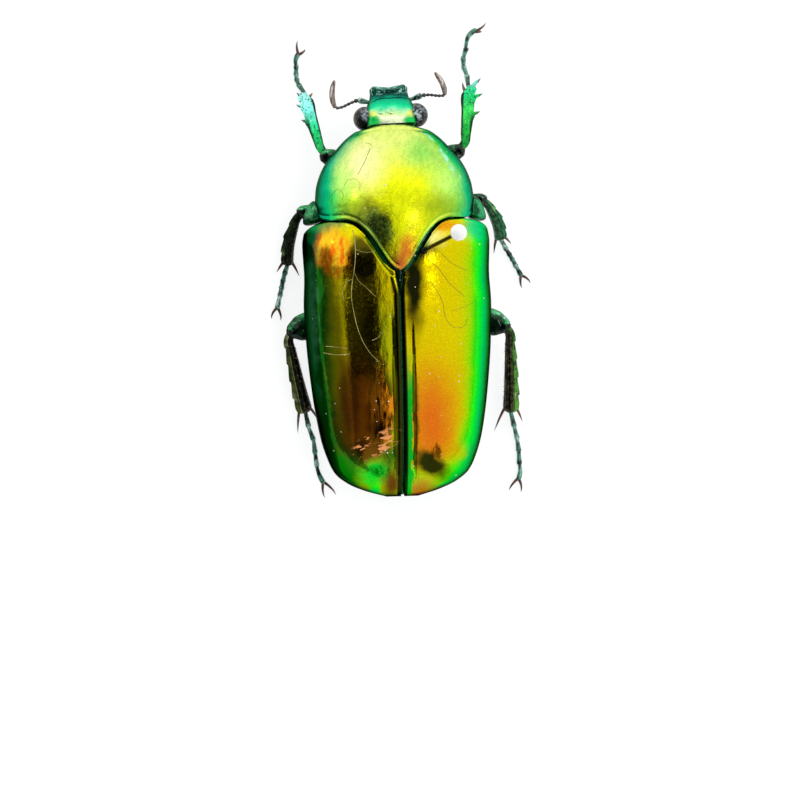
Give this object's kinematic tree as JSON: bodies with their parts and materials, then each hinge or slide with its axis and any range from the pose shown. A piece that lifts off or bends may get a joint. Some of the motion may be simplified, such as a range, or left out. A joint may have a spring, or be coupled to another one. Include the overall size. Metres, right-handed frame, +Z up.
{
  "type": "golden-green flower chafer beetle",
  "caption": "Pinned museum specimen of a metallic golden-green flower chafer, standing on its feet with a white-headed pin through its right wing case.",
  "frame": {"origin": "on the floor under the middle of the model's box", "axes": "+Y towards the head along the body, +X to the beetle's right, +Z up"},
  "size_m": [0.0202, 0.0366, 0.0205],
  "materials": {
    "gold_green_cuticle": "polished, colour turning from gold to green to teal with the slope",
    "green_cuticle": "polished metallic green, finely punctured",
    "dark_cuticle": "glossy black-green",
    "eye": "glossy black",
    "antennal_club": "satin brown",
    "pin_enamel": "black enamel",
    "pin_head_plastic": "glossy white"
  },
  "bodies": {
    "root": {"head": "green_cuticle", "mouthparts": "dark_cuticle", "eye_left": "eye", "eye_right": "eye", "antenna_left": "dark_cuticle", "antenna_right": "dark_cuticle", "antennal_club_left": "antennal_club", "antennal_club_right": "antennal_club", "pronotum": "gold_green_cuticle", "prosternum": "dark_cuticle", "mesepimeron_left": "green_cuticle", "mesepimeron_right": "green_cuticle", "elytron_left": "gold_green_cuticle", "elytron_right": "gold_green_cuticle", "thorax": "dark_cuticle", "abdomen": "dark_cuticle", "pygidium": "green_cuticle", "foreleg_left_coxa": "dark_cuticle", "foreleg_left_femur": "dark_cuticle", "foreleg_left_tibia": "green_cuticle", "foreleg_left_tarsus": "dark_cuticle", "foreleg_right_coxa": "dark_cuticle", "foreleg_right_femur": "dark_cuticle", "foreleg_right_tibia": "green_cuticle", "foreleg_right_tarsus": "dark_cuticle", "midleg_left_coxa": "dark_cuticle", "midleg_left_femur": "dark_cuticle", "midleg_left_tibia": "green_cuticle", "midleg_left_tarsus": "dark_cuticle", "midleg_right_coxa": "dark_cuticle", "midleg_right_femur": "dark_cuticle", "midleg_right_tibia": "green_cuticle", "midleg_right_tarsus": "dark_cuticle", "hindleg_left_coxa": "dark_cuticle", "hindleg_left_femur": "dark_cuticle", "hindleg_left_tibia": "green_cuticle", "hindleg_left_tarsus": "dark_cuticle", "hindleg_right_coxa": "dark_cuticle", "hindleg_right_femur": "dark_cuticle", "hindleg_right_tibia": "green_cuticle", "hindleg_right_tarsus": "dark_cuticle", "pin_shaft": "pin_enamel", "pin_head": "pin_head_plastic", "pin_point": "pin_enamel"}
  },
  "joints": []
}
